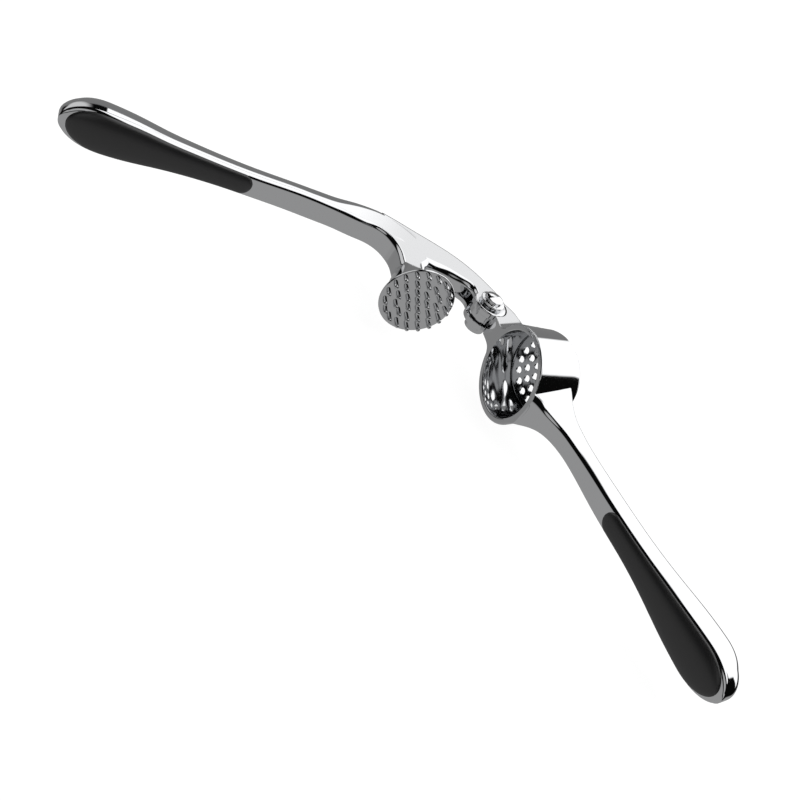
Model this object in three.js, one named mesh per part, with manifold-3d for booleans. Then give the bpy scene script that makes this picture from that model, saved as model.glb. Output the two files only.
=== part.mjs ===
// Garlic press with two die-cast levers, opened wide. Millimetres, +Z up.
//
// Frame: +Z is the hinge axis, and the origin is on that axis, at the flat end of the pivot nut.
// +Y runs down the hopper's bore, so the hopper's mouth faces -Y, and +X runs from the hinge to the
// hopper and on along its handle. Every outline below is drawn about the tool's middle plane, and one
// outer group lifts the whole tool by PIVOT_END so that the nut's end is at z = 0. The press lever is
// drawn as it lies when the press is shut, and its group turns it open by OPEN_ANGLE.
import * as THREE from 'three';
import { mergeVertices } from 'three/addons/utils/BufferGeometryUtils.js';
import { ConvexGeometry } from 'three/addons/geometries/ConvexGeometry.js';
import Module from 'manifold-3d';

const wasm = await Module();
wasm.setup();

// ---- driving dimensions -------------------------------------------------------------------------
const OPEN_ANGLE = THREE.MathUtils.degToRad(110.8); // from shut to the opening stop
const LEVER_HALF = 4.6; // half the width of the arm, the lug and the handle necks
const EDGE = 0.8; // edge rounding of the castings
const TURNED_GAP = 0.3; // air between pieces that meet in the turned group, and around the pivot
const SEAT_GAP = 0.05; // air under a piece that drops onto a ledge

const CUP = {
  x: 31.3, // bore axis, from the hinge
  bore: 15.65,
  rimRadius: 18,
  rimCentreY: -9.27,
  rimTilt: THREE.MathUtils.degToRad(16.3), // the mouth is cut square to the piston's way in
  ledgeY: 9.9, // the sieve plate rests here
  ledgeBore: 14.3,
  baseY: 10.7,
};

const SIEVE = { thickness: 0.95, holeRadius: 1.15, pitch: 3.95, rings: 3 };
const PLATE = { radius: 13.9, thickness: 0.9, frontY: 7.95 };
const PIN = { rootRadius: 0.8, tipRadius: 0.5, length: 2.4 };
const STUD = { radius: 2.5, length: 4 };

const KNUCKLE = 6.7; // outer radius of the fork's eyes
const SHOULDER = 8.2; // radius of the opening stop beside the knuckle
const TONGUE = { radius: 5.6, half: 1.9 };
const SLOT = { half: 2.2, floorY: -7.8 };

const SHANK = 2.5; // radius of the pivot's shank
const HOLE = SHANK + TURNED_GAP;
const PIVOT_END = 8; // from the middle plane to the flat end of the nut

// Handles, as rows of [x, y of the inner face, depth behind it, half width].
const HOPPER_HANDLE = [
  [46, -15.2, 25, 8.4],
  [48.5, -14, 23.5, 6.8],
  [50.5, -11.9, 20.4, 4.7],
  [53.5, -9.4, 17.2, 4.2],
  [57, -7.6, 14.5, 4.05],
  [61, -6.4, 12.3, 3.9],
  [66, -5.9, 10.5, 3.8],
  [75, -6.2, 9.3, 4],
  [90, -7.6, 9.6, 4.5],
  [110, -8.6, 10.2, 5],
  [122, -9.4, 11.1, 5.9],
  [134, -10.5, 12.7, 7.1],
  [146, -11.3, 13.8, 8],
  [163, -12.4, 14.2, 8],
];
const PRESS_HANDLE = [
  [54, -24.5, 11.6, 4.6],
  [62, -25.7, 10.6, 4.7],
  [75, -26.5, 9.6, 4.8],
  [90, -26.2, 9.9, 4.55],
  [105, -25.9, 10.2, 4.8],
  [116, -25.6, 10.8, 5.3],
  [126, -25.1, 11.6, 6.1],
  [136, -24.7, 12.9, 7.3],
  [146, -24.4, 13.7, 8],
  [163, -25.4, 13.9, 8],
];
const HANDLE_TIP = 162.6;
const NOSE_START = 146; // the tip rounds off from here
const PAD = { start: 92.5, end: 157.6, frame: 0.7, depth: 4.5, proud: 0.35 };

// ---- solids and meshes --------------------------------------------------------------------------
function solidOf(geometry) {
  const bare = geometry.index ? geometry.toNonIndexed() : geometry.clone();
  bare.deleteAttribute('normal');
  bare.deleteAttribute('uv');
  const merged = mergeVertices(bare, 1e-4);
  const mesh = new wasm.Mesh({
    numProp: 3,
    vertProperties: new Float32Array(merged.attributes.position.array),
    triVerts: new Uint32Array(merged.index.array),
  });
  return new wasm.Manifold(mesh);
}

function meshOf(name, solid, material) {
  const { vertProperties, triVerts } = solid.getMesh();
  const geometry = new THREE.BufferGeometry();
  geometry.setAttribute('position', new THREE.BufferAttribute(vertProperties, 3));
  geometry.setIndex(new THREE.BufferAttribute(triVerts, 1));
  geometry.computeVertexNormals();
  const mesh = new THREE.Mesh(geometry, material);
  mesh.name = name;
  return mesh;
}

const joined = (first, ...others) => others.reduce((whole, other) => whole.add(other), first);

// A disc or tube blank about the axis through (x, y), parallel to the hinge.
function discZ(radius, bottom, top, { x = 0, y = 0, sides = 32 } = {}) {
  const geometry = new THREE.CylinderGeometry(radius, radius, top - bottom, sides);
  geometry.rotateX(Math.PI / 2);
  geometry.translate(x, y, (bottom + top) / 2);
  return solidOf(geometry);
}

// The same along +Y, about the hopper's bore axis.
function discY(radius, bottom, top, { x = CUP.x, z = 0, sides = 48, topRadius = radius } = {}) {
  const geometry = new THREE.CylinderGeometry(topRadius, radius, top - bottom, sides);
  geometry.translate(x, (bottom + top) / 2, z);
  return solidOf(geometry);
}

// Turned pieces: the profile runs from the high end of the axis to the low end.
function turnedY(points, sides = 56) {
  const profile = points.map(([radius, y]) => new THREE.Vector2(radius, y)).reverse();
  const geometry = new THREE.LatheGeometry(profile, sides);
  geometry.translate(CUP.x, 0, 0);
  return solidOf(geometry);
}

function turnedZ(points, sides = 32) {
  const profile = points.map(([radius, z]) => new THREE.Vector2(radius, z)).reverse();
  const geometry = new THREE.LatheGeometry(profile, sides);
  geometry.rotateX(Math.PI / 2);
  return solidOf(geometry);
}

// A side outline given its width along Z, with rounded edges.
function plank(shape, half, edge = EDGE) {
  const geometry = new THREE.ExtrudeGeometry(shape, {
    depth: 2 * (half - edge),
    bevelEnabled: edge > 0,
    bevelThickness: edge,
    bevelSize: edge,
    bevelOffset: -edge,
    bevelSegments: 2,
    curveSegments: 16,
  });
  geometry.translate(0, 0, edge - half);
  return solidOf(geometry);
}

function block(low, high) {
  const size = high.map((value, axis) => value - low[axis]);
  const geometry = new THREE.BoxGeometry(...size);
  geometry.translate(...high.map((value, axis) => (value + low[axis]) / 2));
  return solidOf(geometry);
}

// ---- lofted handles -----------------------------------------------------------------------------
// Joins sections that all have the same number of [y, z] points, one at each x.
function loft(sections) {
  const sides = sections[0].points.length;
  const geometry = new THREE.CylinderGeometry(1, 1, 1, sides, sections.length - 1);
  const position = geometry.attributes.position;
  for (let i = 0; i < position.count; i += 1) {
    const section = sections[Math.round((position.getY(i) + 0.5) * (sections.length - 1))];
    const onAxis = Math.hypot(position.getX(i), position.getZ(i)) < 0.5;
    const turn = Math.atan2(position.getX(i), position.getZ(i)) / (2 * Math.PI);
    const side = (Math.round(turn * sides) + sides) % sides;
    const [y, z] = onAxis ? middleOf(section.points) : section.points[side];
    position.setXYZ(i, section.x, y, z);
  }
  return solidOf(geometry);
}

function middleOf(points) {
  const sum = points.reduce(([y, z], point) => [y + point[0], z + point[1]], [0, 0]);
  return sum.map((value) => value / points.length);
}

// Mirrors a half outline of [depth, half width] pairs, hung from the face at y on the side given.
// The points run anticlockwise about +X.
function closedSection(halfOutline, faceY, side) {
  const upper = halfOutline.map(([depth, z]) => [faceY + side * depth, z]);
  const lower = upper.map(([y, z]) => [y, -z]).reverse();
  const points = [...upper, ...lower];
  return side > 0 ? points.reverse() : points;
}

// Flat inner face, small inner edge, straight flank and a well rounded back.
function handleOutline(depth, half) {
  const inner = Math.min(0.9, half * 0.3);
  const back = Math.min(4, half * 0.6, depth * 0.5);
  const outline = [
    [0, half - inner],
    [inner * 0.3, half - inner * 0.3],
    [inner, half],
  ];
  for (const degrees of [0, 30, 60, 90]) {
    const angle = THREE.MathUtils.degToRad(degrees);
    outline.push([depth - back + back * Math.sin(angle), half - back + back * Math.cos(angle)]);
  }
  return outline;
}

const padOutline = (depth, half) => [
  [-PAD.proud, half * 0.5],
  [-PAD.proud * 0.7, half * 0.85],
  [0, half],
  [depth, half * 0.9],
];

const pocketOutline = (depth, half) => [
  [-2, half + TURNED_GAP],
  [depth + TURNED_GAP, half + TURNED_GAP],
];

function handleAt(rows) {
  const places = rows.map(([x]) => x);
  const values = rows.flatMap(([, ...rest]) => rest);
  const interpolant = new THREE.CubicInterpolant(places, values, 3);
  return (x) => {
    const [face, depth, half] = interpolant.evaluate(x);
    return { face, depth, half };
  };
}

// The tip's half width follows a quarter ellipse, and its depth shrinks more slowly.
function noseScale(x) {
  const reach = Math.max(0, (x - NOSE_START) / (HANDLE_TIP - NOSE_START));
  const round = Math.sqrt(Math.max(0, 1 - reach ** 2.3));
  return { half: Math.max(round, 0.12), depth: 0.35 + 0.65 * round };
}

function handle(rows, side) {
  const at = handleAt(rows);
  const places = [];
  for (let x = rows[0][0]; x < 58; x += 2) places.push(x);
  for (let x = 58; x < NOSE_START; x += 8) places.push(x);
  for (let step = 0; step <= 8; step += 1) {
    places.push(NOSE_START + (HANDLE_TIP - NOSE_START) * Math.sin((step / 8) * (Math.PI / 2)));
  }
  const sections = places.map((x) => {
    const { face, depth, half } = at(x);
    const nose = noseScale(x);
    const outline = handleOutline(depth * nose.depth, half * nose.half);
    return { x, points: closedSection(outline, face, side) };
  });
  return loft(sections);
}

// A pad is round at the hopper end and follows the handle's tip at the other.
function padSections(rows, side, outlineOf, grow) {
  const at = handleAt(rows);
  const startRound = at(PAD.start).half - PAD.frame;
  const places = [];
  for (let step = 0; step < 6; step += 1) {
    const angle = (step / 6) * (Math.PI / 2);
    places.push(PAD.start - grow + (startRound + grow) * (1 - Math.cos(angle)));
  }
  for (let x = PAD.start + startRound; x < NOSE_START; x += 8) places.push(x);
  const endLength = PAD.end + grow - NOSE_START;
  for (let step = 0; step <= 7; step += 1) {
    places.push(NOSE_START + endLength * Math.sin((step / 7) * (Math.PI / 2)));
  }
  return places.map((x) => {
    const { face, half } = at(x);
    const start = Math.max(0, 1 - (x - PAD.start + grow) / (startRound + grow));
    const end = Math.max(0, (x - NOSE_START) / endLength);
    const round = Math.sqrt(Math.max(0, 1 - start ** 2)) * Math.sqrt(Math.max(0, 1 - end ** 2.3));
    const width = Math.max((half - PAD.frame) * round, 0.25);
    return { x, points: closedSection(outlineOf(PAD.depth, width), face, side) };
  });
}

const gripPad = (rows, side) => loft(padSections(rows, side, padOutline, 0));
const padPocket = (rows, side) => loft(padSections(rows, side, pocketOutline, TURNED_GAP));

// ---- hopper lever -------------------------------------------------------------------------------
const rimY = (x) => CUP.rimCentreY - Math.tan(CUP.rimTilt) * (x - CUP.x);

// Everything beyond the plane of the mouth.
function aboveRim() {
  const thickness = 40;
  const geometry = new THREE.BoxGeometry(90, thickness, 90);
  geometry.translate(0, -thickness / 2, 0);
  geometry.rotateZ(-CUP.rimTilt);
  geometry.translate(CUP.x, CUP.rimCentreY, 0);
  return solidOf(geometry);
}

// A slightly drafted cup with a rounded foot.
function cupBlank() {
  const { rimRadius, baseY } = CUP;
  return turnedY([
    [0, baseY],
    [15.4, baseY],
    [16.6, baseY - 0.9],
    [17.2, baseY - 2.2],
    [rimRadius, -5],
    [rimRadius, -20],
    [0, -20],
  ]);
}

function cupCavity() {
  const { bore, ledgeY, ledgeBore, baseY } = CUP;
  return turnedY([
    [0, baseY + 1],
    [ledgeBore, baseY + 1],
    [ledgeBore, ledgeY],
    [bore, ledgeY],
    [bore, -21],
    [0, -21],
  ]);
}

// The lug carries the hopper on the hinge. Its end is hollowed to clear the fork's knuckle.
function lug() {
  const edgeX = 6.6;
  const outline = new THREE.Shape();
  outline.moveTo(edgeX, rimY(edgeX));
  outline.lineTo(18, rimY(18));
  outline.lineTo(18, CUP.baseY - 0.6);
  outline.quadraticCurveTo(9, CUP.baseY - 0.4, 2.6, 7.9);
  outline.lineTo(2.1, 6.4);
  outline.lineTo(4.5, 3);
  outline.lineTo(5.5, 0);
  outline.closePath();
  const seat = discZ(KNUCKLE + TURNED_GAP, -10, 10, { sides: 48 });
  return plank(outline, LEVER_HALF, 0.5).subtract(seat);
}

// The lug widens where it runs into the cup.
function lugFlare() {
  const outline = new THREE.Shape();
  outline.moveTo(12.2, LEVER_HALF - 0.5);
  outline.lineTo(14.8, 5.9);
  outline.lineTo(16.2, 8.2);
  outline.lineTo(20, 9.6);
  outline.lineTo(20, -9.6);
  outline.lineTo(16.2, -8.2);
  outline.lineTo(14.8, -5.9);
  outline.lineTo(12.2, 0.5 - LEVER_HALF);
  outline.closePath();
  const geometry = new THREE.ExtrudeGeometry(outline, { depth: 14, bevelEnabled: false });
  geometry.rotateX(Math.PI / 2);
  geometry.translate(0, 8, 0);
  return solidOf(geometry);
}

function tongue() {
  const eye = discZ(TONGUE.radius, -TONGUE.half, TONGUE.half, { sides: 48 });
  const neck = block([0, -1.2, -TONGUE.half], [11, 5, TONGUE.half]);
  return eye.add(neck);
}

function hopperLever() {
  const body = joined(cupBlank(), handle(HOPPER_HANDLE, 1), lug(), lugFlare(), tongue());
  return body
    .subtract(aboveRim())
    .subtract(cupCavity())
    .subtract(discZ(HOLE, -12, 12, { sides: 32 }))
    .subtract(padPocket(HOPPER_HANDLE, 1));
}

// ---- the 1 + 6 + 12 + 18 pattern shared by the holes and the pins -------------------------------
function ringPlaces() {
  const places = [[0, 0]];
  for (let ring = 1; ring <= SIEVE.rings; ring += 1) {
    for (let step = 0; step < 6 * ring; step += 1) {
      const angle = (step / (6 * ring)) * 2 * Math.PI;
      places.push([ring * SIEVE.pitch * Math.cos(angle), ring * SIEVE.pitch * Math.sin(angle)]);
    }
  }
  return places;
}

function sievePlate() {
  const top = CUP.ledgeY - SEAT_GAP;
  const bottom = top - SIEVE.thickness;
  const plate = discY(CUP.bore - TURNED_GAP, bottom, top);
  return ringPlaces().reduce((rest, [x, z]) => {
    const hole = discY(SIEVE.holeRadius, bottom - 1, top + 1, { x: CUP.x + x, z, sides: 12 });
    return rest.subtract(hole);
  }, plate);
}

// ---- press lever, drawn shut --------------------------------------------------------------------
function armOutline() {
  const shape = new THREE.Shape();
  const through = (...points) => points.forEach(([x, y]) => shape.lineTo(x, y));
  const stop = THREE.MathUtils.degToRad(185); // the shoulder meets the lug when the press is open
  const neck = THREE.MathUtils.degToRad(-38);
  shape.moveTo(27.4, -6.6);
  through([37.4, -6.6], [37.5, -11], [38.2, -15.2], [39.6, -19], [42.2, -22.1], [46, -23.7]);
  through([52, -24.2], [60, -25.3], [60, -36.2], [50, -36.6], [40, -35], [33, -32.4], [26, -29.6]);
  through([17, -26.4], [8.5, -22], [1.5, -16.2], [-4, -10], [-6.8, -5]);
  through([SHOULDER * Math.cos(stop), SHOULDER * Math.sin(stop)]);
  shape.absarc(0, 0, KNUCKLE, stop, neck, true);
  through([6.9, -7.3], [11.8, -9.9], [16, -11.9], [21, -13.4], [24.6, -12], [26.6, -9.4]);
  shape.closePath();
  return shape;
}

// The leg spreads in flat facets into a foot that backs the press plate.
function foot() {
  const points = [];
  for (const z of [-4.2, 4.2]) {
    points.push(new THREE.Vector3(37.8, -13.5, z));
    points.push(new THREE.Vector3(27.6, -7.4, z));
  }
  const backY = PLATE.frontY - PLATE.thickness - TURNED_GAP;
  const radius = PLATE.radius - 1.1;
  for (let step = 0; step < 8; step += 1) {
    const angle = ((step + 0.5) / 8) * 2 * Math.PI;
    const x = CUP.x + radius * Math.cos(angle);
    const z = radius * Math.sin(angle);
    points.push(new THREE.Vector3(x, backY, z));
    points.push(new THREE.Vector3(x, backY - 0.6, z));
  }
  return solidOf(new ConvexGeometry(points));
}

function forkSlot() {
  return block([-14, SLOT.floorY, -SLOT.half], [14, 12, SLOT.half]);
}

function studSocket() {
  const backY = PLATE.frontY - PLATE.thickness;
  const top = backY - STUD.length - TURNED_GAP;
  return discY(STUD.radius + TURNED_GAP, top, backY + 1, { sides: 24 });
}

function pressLever() {
  return joined(plank(armOutline(), LEVER_HALF), foot(), handle(PRESS_HANDLE, -1))
    .subtract(forkSlot())
    .subtract(discZ(HOLE, -12, 12, { sides: 32 }))
    .subtract(studSocket())
    .subtract(padPocket(PRESS_HANDLE, -1));
}

// A pin's tip swings through the sieve on an arc about the hinge. Each pin stands nearer to the
// hinge than its hole by half of that sideways travel, so that it stays inside the hole.
function pinLead(x) {
  const sieveTop = CUP.ledgeY - SEAT_GAP - SIEVE.thickness;
  const travel = PLATE.frontY + PIN.length - sieveTop;
  return (0.5 * sieveTop * travel) / x;
}

function pressPlate() {
  const backY = PLATE.frontY - PLATE.thickness;
  const disc = discY(PLATE.radius, backY, PLATE.frontY);
  const stud = discY(STUD.radius, backY - STUD.length, backY + 0.2, { sides: 24 });
  return ringPlaces().reduce((whole, [x, z]) => {
    const at = { x: CUP.x + x - pinLead(CUP.x + x), z, sides: 8, topRadius: PIN.tipRadius };
    const pin = discY(PIN.rootRadius, PLATE.frontY - 0.2, PLATE.frontY + PIN.length, at);
    return whole.add(pin);
  }, disc.add(stud));
}

// ---- pivot --------------------------------------------------------------------------------------
const PIVOT = {
  collar: [LEVER_HALF + 0.15, LEVER_HALF + 1.35],
  collarRadius: 3.7,
  headRadius: 5.2,
  headTop: 8.5,
  washer: [-LEVER_HALF - 0.85, -LEVER_HALF - 0.15],
  washerRadius: 4.6,
  nutRadius: 4.1,
  shankEnd: -7,
};

// Mushroom head on a plain shank.
function pivotBolt() {
  const under = PIVOT.collar[1] + SEAT_GAP;
  const { headRadius, headTop, shankEnd } = PIVOT;
  return turnedZ([
    [0, headTop],
    [1.8, headTop - 0.2],
    [3.4, headTop - 0.75],
    [4.4, under + 0.95],
    [headRadius - 0.15, under + 0.8],
    [headRadius, under + 0.45],
    [headRadius - 0.15, under],
    [SHANK, under],
    [SHANK, shankEnd],
    [0, shankEnd],
  ]);
}

function ring(radius, [bottom, top]) {
  return discZ(radius, bottom, top).subtract(discZ(HOLE, bottom - 1, top + 1, { sides: 32 }));
}

// Closed at its lower end, so that the end is one flat face.
function pivotNut() {
  const top = PIVOT.washer[0] - SEAT_GAP;
  const blank = turnedZ([
    [0, top],
    [PIVOT.nutRadius, top],
    [PIVOT.nutRadius, 0.5 - PIVOT_END],
    [PIVOT.nutRadius - 0.5, -PIVOT_END],
    [0, -PIVOT_END],
  ]);
  return blank.subtract(discZ(HOLE, PIVOT.shankEnd - TURNED_GAP, top + 1, { sides: 32 }));
}

// ---- materials ----------------------------------------------------------------------------------
const metal = (color, roughness) => new THREE.MeshStandardMaterial({ color, roughness, metalness: 1 });
const chrome = () => metal(0xc4c6c8, 0.08);
const steel = () => metal(0xb9bcc0, 0.2);
const softGrip = () => new THREE.MeshStandardMaterial({ color: 0x161616, roughness: 0.55, metalness: 0 });

// ---- the tool -----------------------------------------------------------------------------------
const hopperBody = new THREE.Group();
hopperBody.add(
  meshOf('hopper_lever', hopperLever(), chrome()),
  meshOf('sieve_plate', sievePlate(), steel()),
  meshOf('hopper_grip_pad', gripPad(HOPPER_HANDLE, 1), softGrip()),
  meshOf('pivot_bolt', pivotBolt(), chrome()),
  meshOf('pivot_collar', ring(PIVOT.collarRadius, PIVOT.collar), chrome()),
  meshOf('pivot_washer', ring(PIVOT.washerRadius, PIVOT.washer), steel()),
  meshOf('pivot_nut', pivotNut(), chrome()),
);

const pressBody = new THREE.Group();
pressBody.rotation.z = -OPEN_ANGLE;
pressBody.add(
  meshOf('press_lever', pressLever(), chrome()),
  meshOf('press_plate', pressPlate(), chrome()),
  meshOf('press_grip_pad', gripPad(PRESS_HANDLE, -1), softGrip()),
);

const garlicPress = new THREE.Group();
garlicPress.position.z = PIVOT_END;
garlicPress.add(hopperBody, pressBody);

export default garlicPress;
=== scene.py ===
"""A chrome garlic press with two cast levers, lying open on its side on a pale floor."""

import logging
import math
from dataclasses import dataclass
from enum import Enum
from typing import Callable, Sequence

import bmesh
import bpy
import numpy as np
from mathutils import Matrix, Vector

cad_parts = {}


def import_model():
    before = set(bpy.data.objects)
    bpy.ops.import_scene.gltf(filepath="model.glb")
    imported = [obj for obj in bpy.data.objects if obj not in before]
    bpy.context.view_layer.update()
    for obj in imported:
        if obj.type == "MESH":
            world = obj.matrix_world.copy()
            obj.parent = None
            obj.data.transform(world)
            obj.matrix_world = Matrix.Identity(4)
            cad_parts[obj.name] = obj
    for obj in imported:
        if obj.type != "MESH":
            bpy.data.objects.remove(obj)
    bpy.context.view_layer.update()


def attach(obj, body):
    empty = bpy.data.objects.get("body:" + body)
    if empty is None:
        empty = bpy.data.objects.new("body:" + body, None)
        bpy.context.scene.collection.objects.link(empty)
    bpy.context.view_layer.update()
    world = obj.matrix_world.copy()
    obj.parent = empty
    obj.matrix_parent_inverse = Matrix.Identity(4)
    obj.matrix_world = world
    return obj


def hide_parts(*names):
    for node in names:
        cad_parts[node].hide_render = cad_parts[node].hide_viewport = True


LOG = logging.getLogger("garlic_press")

# Sizes are in millimetres about the tool's middle plane, with the hinge axis at x = y = 0.
MM = 0.001
PIVOT_END = 8.0
OPEN_ANGLE = math.radians(110.8)
LIFT = Matrix.Translation((0.0, 0.0, PIVOT_END * MM)) @ Matrix.Scale(MM, 4)

SHARP_ANGLE = math.radians(24.0)
WELD = 1e-5

Pair = tuple[float, float]
Row = tuple[float, ...]
NodeInput = bpy.types.NodeSocket | float


class Body(Enum):
    """The moving bodies, with the place of each one's own drawing frame."""

    HOPPER = "hopper_body"
    PRESS = "press_body"

    @property
    def place(self) -> Matrix:
        """The matrix from this body's own millimetres to the open tool in metres."""
        if self is Body.PRESS:
            return LIFT @ Matrix.Rotation(-OPEN_ANGLE, 4, "Z")
        return LIFT


class Join(Enum):
    """How one solid is worked into another."""

    ADD = "UNION"
    CUT = "DIFFERENCE"


# ---- bmesh helpers -------------------------------------------------------------------------------


def smooth_rows(rows: Sequence[Row], count: int, near: Callable[[float], float]) -> list[Row]:
    """Resample rows along smooth curves through all of their columns.

    Args:
        rows: the rows, whose first two columns are the point that sets the spacing.
        count: how many rows to give back.
        near: maps an even 0..1 step to the 0..1 place along the rows.

    Returns:
        The new rows, on natural cubic splines through the given ones.
    """
    table = np.array(rows, dtype=float)
    steps = np.hypot(*np.diff(table[:, :2], axis=0).T)
    knots = np.concatenate([[0.0], np.cumsum(steps)])
    size = len(knots)
    system = np.eye(size)
    right = np.zeros_like(table)
    for i in range(1, size - 1):
        before, after = steps[i - 1], steps[i]
        system[i, i - 1 : i + 2] = before, 2.0 * (before + after), after
        rise = (table[i + 1] - table[i]) / after - (table[i] - table[i - 1]) / before
        right[i] = 6.0 * rise
    bend = np.linalg.solve(system, right)
    out = []
    for step in range(count):
        place = near(step / (count - 1)) * knots[-1]
        i = min(int(np.searchsorted(knots, place, side="right")) - 1, size - 2)
        width = knots[i + 1] - knots[i]
        a = (knots[i + 1] - place) / width
        b = 1.0 - a
        curve = (a**3 - a) * bend[i] + (b**3 - b) * bend[i + 1]
        out.append(tuple(a * table[i] + b * table[i + 1] + curve * width**2 / 6.0))
    return out


def skin(bm: bmesh.types.BMesh, rings: Sequence[Sequence[Vector]]) -> None:
    """Wrap a grid round closed rings of points and cap both ends.

    Args:
        bm: the mesh to add the closed skin to.
        rings: the rings in order, all with the same number of points.
    """
    along, around = len(rings) - 1, len(rings[0])
    made = bmesh.ops.create_grid(bm, x_segments=along, y_segments=around, size=1.0)
    for vert in made["verts"]:
        i = round((vert.co.x + 1.0) / 2.0 * along)
        j = round((vert.co.y + 1.0) / 2.0 * around)
        vert.co = rings[i][j % around]
    bmesh.ops.remove_doubles(bm, verts=made["verts"], dist=WELD)
    open_edges = [edge for edge in bm.edges if edge.is_boundary]
    bmesh.ops.holes_fill(bm, edges=open_edges, sides=0)
    bmesh.ops.recalc_face_normals(bm, faces=bm.faces[:])


def spin_profile(bm: bmesh.types.BMesh, profile: Sequence[Pair], steps: int) -> None:
    """Turn a closed profile, or one that ends on the axis, about the local Z axis.

    Args:
        bm: the mesh to add the turned solid to.
        profile: (radius, height) pairs in order.
        steps: how many steps one full turn has.
    """
    verts = [bm.verts.new((radius, 0.0, height)) for radius, height in profile]
    closed = profile[0][0] > 0.0
    ends = verts[1:] + (verts[:1] if closed else [])
    edges = [bm.edges.new(pair) for pair in zip(verts, ends)]
    bmesh.ops.spin(
        bm,
        geom=verts + edges,
        cent=(0.0, 0.0, 0.0),
        axis=(0.0, 0.0, 1.0),
        angle=math.tau,
        steps=steps,
        use_merge=True,
    )
    bmesh.ops.remove_doubles(bm, verts=bm.verts[:], dist=WELD)
    bmesh.ops.recalc_face_normals(bm, faces=bm.faces[:])


def rounded(points: Sequence[Row], steps: int = 5) -> list[Pair]:
    """Round the corners of a profile that ends on the axis or closes on itself.

    Args:
        points: (x, y) or (x, y, radius) rows, in order.
        steps: how many segments each rounded corner has.

    Returns:
        The profile's points with an arc in place of each corner that has a radius.
    """
    out: list[Pair] = []
    for i, row in enumerate(points):
        here = Vector(row[:2])
        if len(row) < 3:
            out.append((here.x, here.y))
            continue
        back = (Vector(points[i - 1][:2]) - here).normalized()
        ahead = (Vector(points[(i + 1) % len(points)][:2]) - here).normalized()
        half = back.angle(ahead) / 2.0
        reach = row[2] / math.tan(half)
        centre = here + (back + ahead).normalized() * (row[2] / math.sin(half))
        start, end = here + back * reach - centre, here + ahead * reach - centre
        for step in range(steps + 1):
            arm = start.slerp(end, step / steps).normalized() * row[2]
            out.append((centre.x + arm.x, centre.y + arm.y))
    return out


def turned(profile: Sequence[Pair], steps: int, along_y: float | None = None) -> bmesh.types.BMesh:
    """Make a turned solid.

    Args:
        profile: (radius, height) pairs.
        steps: how many steps one full turn has.
        along_y: the x of an axis that runs along Y, or None for the hinge axis.

    Returns:
        The solid as a new mesh.
    """
    bm = bmesh.new()
    spin_profile(bm, profile, steps)
    if along_y is not None:
        turn = Matrix.Translation((along_y, 0.0, 0.0)) @ Matrix.Rotation(-math.pi / 2, 4, "X")
        bm.transform(turn)
    return bm


def drum(radius: float, half: float, steps: int = 96, edge: float = 0.0) -> bmesh.types.BMesh:
    """Make a plain drum on the hinge axis.

    Args:
        radius: the drum's radius.
        half: half its height.
        steps: how many sides it has.
        edge: the rounding of its two edges, or 0 for sharp ones.

    Returns:
        The solid as a new mesh.
    """
    if edge:
        rows = [(0.0, -half), (radius, -half, edge), (radius, half, edge), (0.0, half)]
        return turned(rounded(rows), steps)
    return turned([(0.0, -half), (radius, -half), (radius, half), (0.0, half)], steps)


def brick(low: Row, high: Row) -> bmesh.types.BMesh:
    """Make a block.

    Args:
        low: its corner with the lowest x, y and z.
        high: the opposite corner.

    Returns:
        The solid as a new mesh.
    """
    bm = bmesh.new()
    bmesh.ops.create_cube(bm, size=1.0)
    size = [b - a for a, b in zip(low, high)]
    middle = [(a + b) / 2 for a, b in zip(low, high)]
    bmesh.ops.scale(bm, vec=size, verts=bm.verts[:])
    bmesh.ops.translate(bm, vec=middle, verts=bm.verts[:])
    return bm


def bevel_all(bm: bmesh.types.BMesh, offset: float, segments: int, over: float) -> None:
    """Round every edge that turns by more than an angle.

    Args:
        bm: the mesh to work on.
        offset: the width of the rounding.
        segments: how many segments the rounding has.
        over: the least angle between two faces whose edge is rounded.
    """
    edges = [e for e in bm.edges if e.is_manifold and e.calc_face_angle(0.0) > over]
    bmesh.ops.bevel(
        bm,
        geom=edges,
        offset=offset,
        offset_type="OFFSET",
        segments=segments,
        profile=0.5,
        affect="EDGES",
        clamp_overlap=True,
        material=-1,
    )


def to_object(bm: bmesh.types.BMesh, name: str) -> bpy.types.Object:
    """Turn a mesh under construction into an object.

    Args:
        bm: the mesh, which is used up.
        name: the object's name.

    Returns:
        The object, linked into the scene.
    """
    mesh = bpy.data.meshes.new(name)
    bm.to_mesh(mesh)
    bm.free()
    made = bpy.data.objects.new(name, mesh)
    bpy.context.scene.collection.objects.link(made)
    return made


def work(base: bpy.types.Object, tool: bmesh.types.BMesh, how: Join) -> None:
    """Join a solid to an object, or cut the object with it, and keep the result.

    Args:
        base: the object that is changed.
        tool: the solid, which is used up.
        how: whether the solid is added or cut away.
    """
    helper = to_object(tool, "helper")
    step = base.modifiers.new("work", "BOOLEAN")
    step.operation = how.value
    step.solver = "EXACT"
    step.object = helper
    graph = bpy.context.evaluated_depsgraph_get()
    graph.update()
    result = bpy.data.meshes.new_from_object(base.evaluated_get(graph))
    old = base.data
    base.modifiers.clear()
    base.data = result
    bpy.data.meshes.remove(old)
    bpy.data.objects.remove(helper)


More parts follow.
